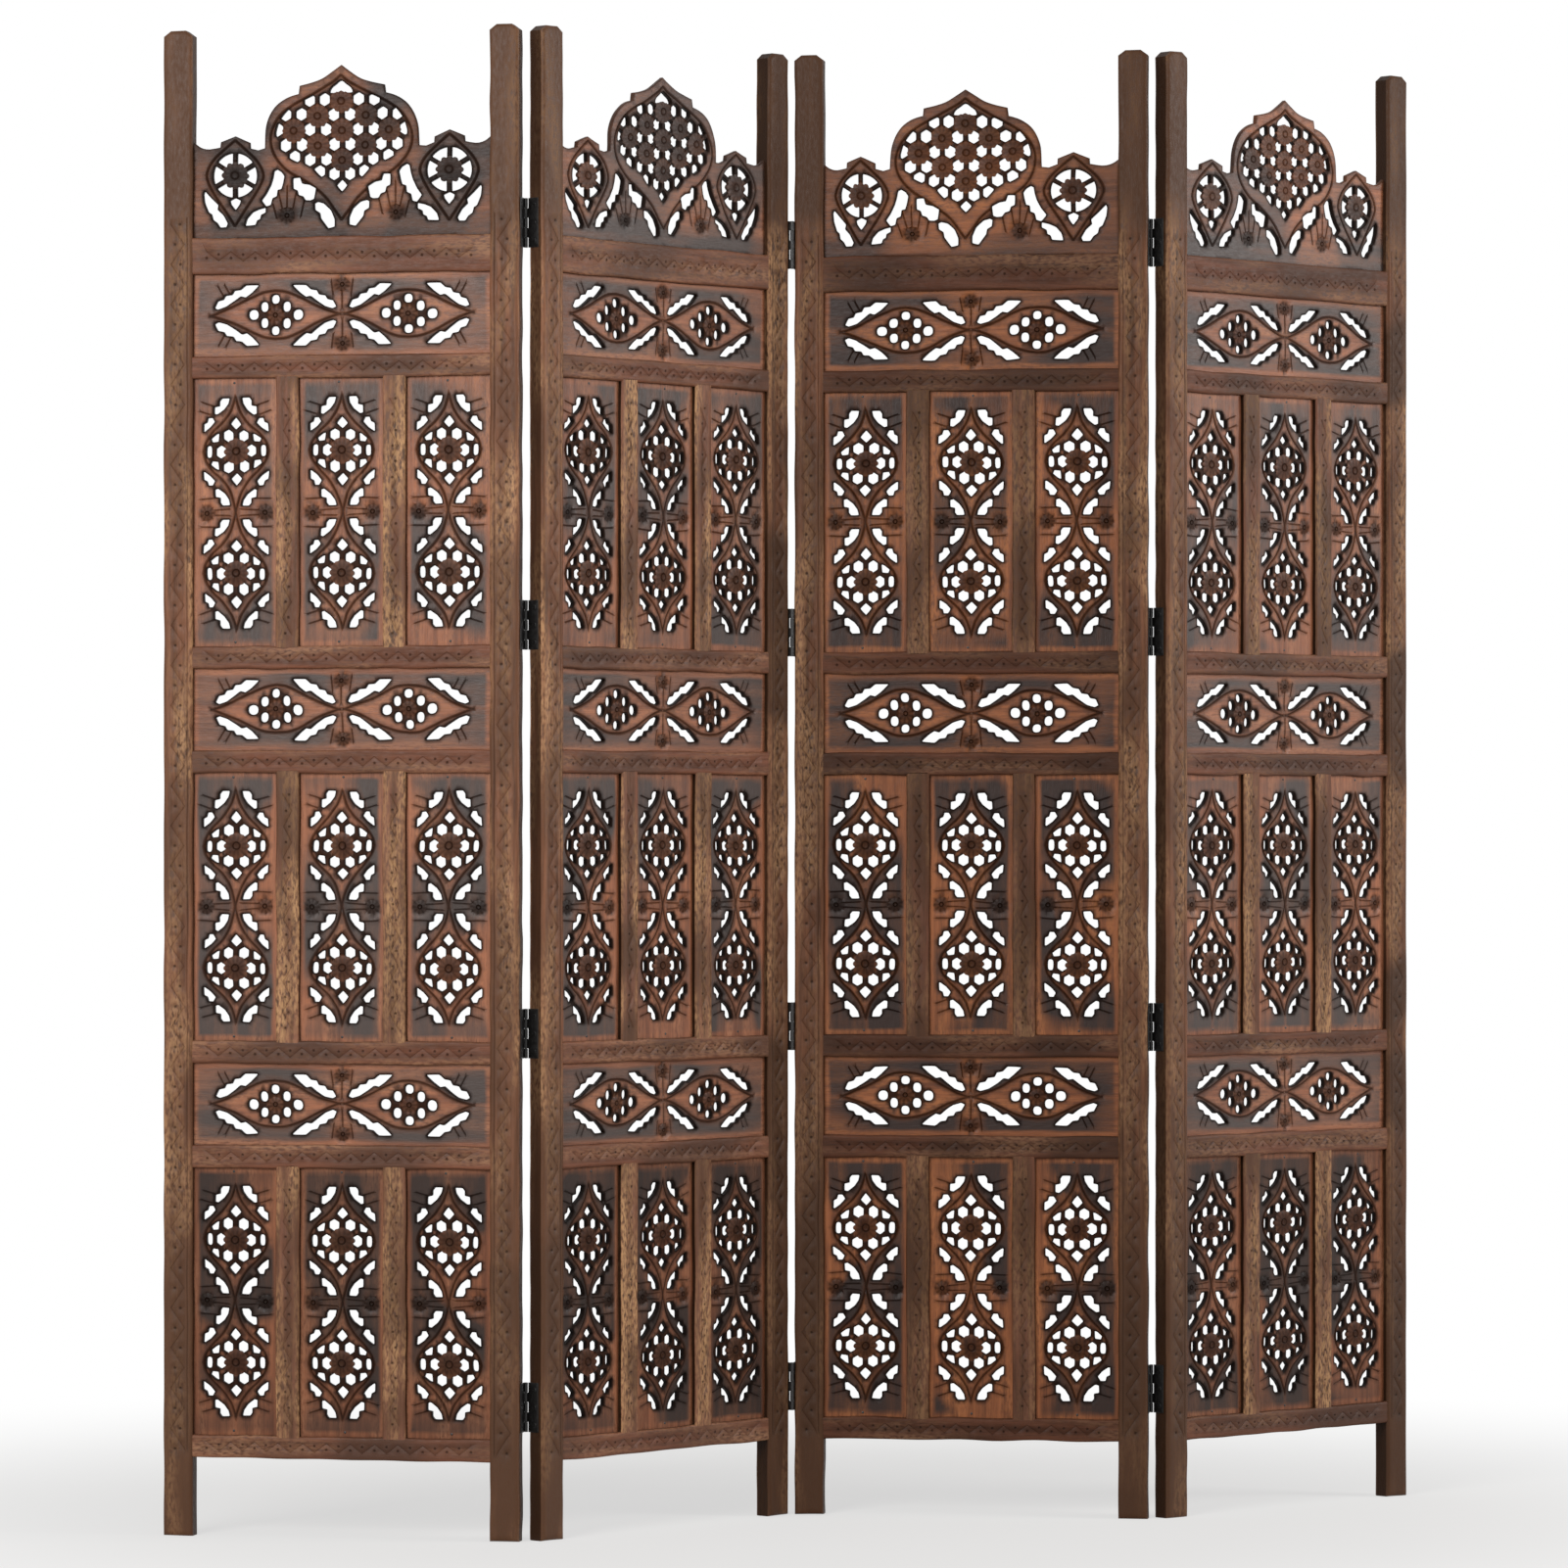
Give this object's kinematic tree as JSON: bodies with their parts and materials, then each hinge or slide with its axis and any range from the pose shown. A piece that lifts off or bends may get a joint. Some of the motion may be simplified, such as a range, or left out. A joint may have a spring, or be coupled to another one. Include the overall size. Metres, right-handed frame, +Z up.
{
  "type": "folding room divider",
  "caption": "Free-standing folding wooden screen of pierced, carved panels between grooved posts, joined edge to edge by butt hinges so it stands in a zigzag or folds flat.",
  "frame": {"origin": "on the floor under the centre of the box round the screen as it stands in its zigzag", "axes": "+Z up; +X to the right and +Y away as seen from the front"},
  "size_m": [1.4066, 0.5476, 1.65],
  "materials": {
    "frame_wood": "stained and oiled mango wood, dark speckle, softened edges",
    "fretwork_wood": "carved and pierced mango wood board, reddish stain with burnt edges",
    "hinge_steel": "black lacquered steel"
  },
  "bodies": {
    "panel_1": {"panel_1_left_stile": "frame_wood", "panel_1_right_stile": "frame_wood", "panel_1_rails": "frame_wood", "panel_1_head_rail": "frame_wood", "panel_1_mullions": "frame_wood", "panel_1_crest_board": "fretwork_wood", "panel_1_frieze_boards": "fretwork_wood", "panel_1_lower_lattices": "fretwork_wood", "panel_1_middle_lattices": "fretwork_wood", "panel_1_upper_lattices": "fretwork_wood", "hinge_12_left_leaves": "hinge_steel", "hinge_12_pins": "hinge_steel"},
    "panel_2": {"panel_2_left_stile": "frame_wood", "panel_2_right_stile": "frame_wood", "panel_2_rails": "frame_wood", "panel_2_head_rail": "frame_wood", "panel_2_mullions": "frame_wood", "panel_2_crest_board": "fretwork_wood", "panel_2_frieze_boards": "fretwork_wood", "panel_2_lower_lattices": "fretwork_wood", "panel_2_middle_lattices": "fretwork_wood", "panel_2_upper_lattices": "fretwork_wood", "hinge_12_right_leaves": "hinge_steel", "hinge_23_left_leaves": "hinge_steel", "hinge_23_pins": "hinge_steel"},
    "panel_3": {"panel_3_left_stile": "frame_wood", "panel_3_right_stile": "frame_wood", "panel_3_rails": "frame_wood", "panel_3_head_rail": "frame_wood", "panel_3_mullions": "frame_wood", "panel_3_crest_board": "fretwork_wood", "panel_3_frieze_boards": "fretwork_wood", "panel_3_lower_lattices": "fretwork_wood", "panel_3_middle_lattices": "fretwork_wood", "panel_3_upper_lattices": "fretwork_wood", "hinge_23_right_leaves": "hinge_steel", "hinge_34_left_leaves": "hinge_steel", "hinge_34_pins": "hinge_steel"},
    "panel_4": {"panel_4_left_stile": "frame_wood", "panel_4_right_stile": "frame_wood", "panel_4_rails": "frame_wood", "panel_4_head_rail": "frame_wood", "panel_4_mullions": "frame_wood", "panel_4_crest_board": "fretwork_wood", "panel_4_frieze_boards": "fretwork_wood", "panel_4_lower_lattices": "fretwork_wood", "panel_4_middle_lattices": "fretwork_wood", "panel_4_upper_lattices": "fretwork_wood", "hinge_34_right_leaves": "hinge_steel"}
  },
  "joints": [
    {"name": "fold_12", "type": "hinge", "parent": "panel_2", "child": "panel_1", "pos_m": [-0.3037, -0.25045, 0.8], "axis": [0, 0, 1], "range_deg": [-121.2, 58.8]},
    {"name": "fold_23", "type": "hinge", "parent": "panel_2", "child": "panel_3", "pos_m": [-0.01305, 0.03212, 0.8], "axis": [0, 0, 1], "range_deg": [-124.15, 55.85]},
    {"name": "fold_34", "type": "hinge", "parent": "panel_3", "child": "panel_4", "pos_m": [0.39125, 0.0027, 0.8], "axis": [0, 0, -1], "range_deg": [-129.39, 50.61]}
  ]
}
